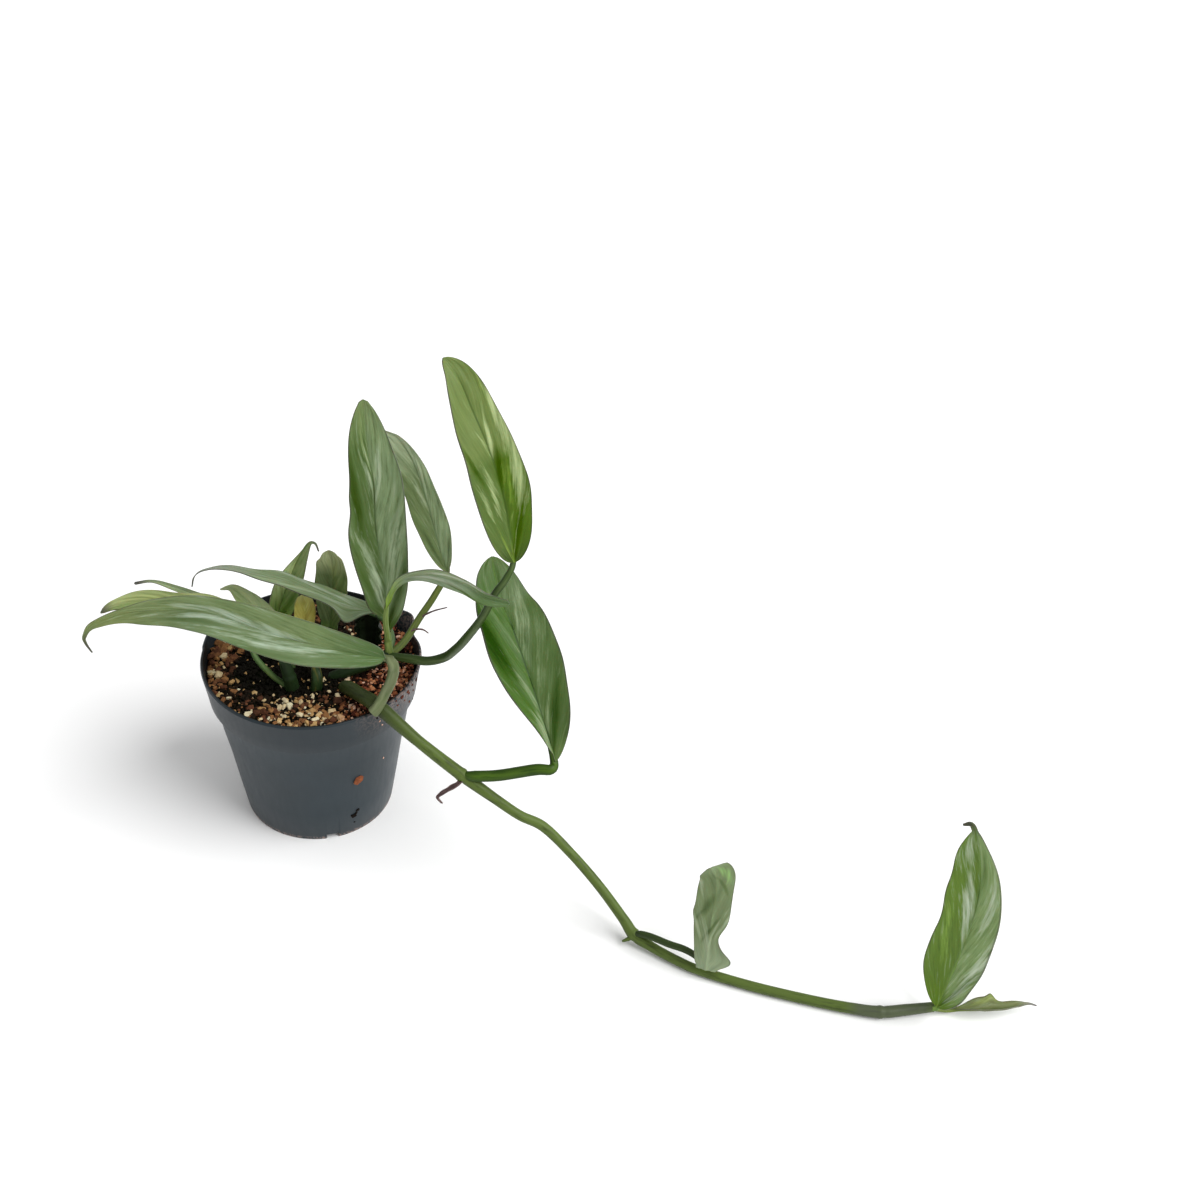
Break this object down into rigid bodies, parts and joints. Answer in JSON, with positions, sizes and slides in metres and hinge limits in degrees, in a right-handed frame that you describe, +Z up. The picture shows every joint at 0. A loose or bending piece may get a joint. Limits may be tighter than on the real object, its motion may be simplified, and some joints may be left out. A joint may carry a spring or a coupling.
{
  "type": "potted trailing epipremnum",
  "caption": "Young trailing aroid with long pointed leaves, rooted in a tapered nursery pot, its vine hanging over the rim and running out along the floor.",
  "frame": {"origin": "middle of the pot's foot, on the floor", "axes": "+Z up; +X towards the far end of the trailing vine; -Y towards the side the picture was taken from"},
  "size_m": [0.5162, 0.2007, 0.2976],
  "materials": {
    "nursery_plastic": "thin moulded polypropylene, satin",
    "potting_mix": "damp bark chips and grit",
    "stem_green": "satin living stem",
    "stem_dark": "satin living stem, dark green",
    "leaf_green": "satin leaf with a silvery sheen",
    "leaf_lime": "satin leaf with lime patches",
    "leaf_pale": "matte pale underside",
    "dry_sheath": "dry and papery"
  },
  "bodies": {
    "root": {"pot": "nursery_plastic", "soil": "potting_mix", "vine": "stem_green", "stem_back": "stem_dark", "stem_centre": "stem_dark", "dry_scale": "dry_sheath", "leaf_long": "leaf_green", "leaf_olive": "leaf_lime", "leaf_thin": "leaf_green", "leaf_arching": "leaf_green", "leaf_low": "leaf_green", "leaf_folded": "leaf_green", "leaf_round": "leaf_lime", "leaf_bud": "leaf_lime", "leaf_tall": "leaf_green", "leaf_back": "leaf_green", "leaf_bow": "leaf_lime", "leaf_splashed": "leaf_lime", "leaf_front": "leaf_green", "leaf_cupped": "leaf_pale", "leaf_upright": "leaf_lime", "leaf_end": "leaf_green"}
  },
  "joints": []
}
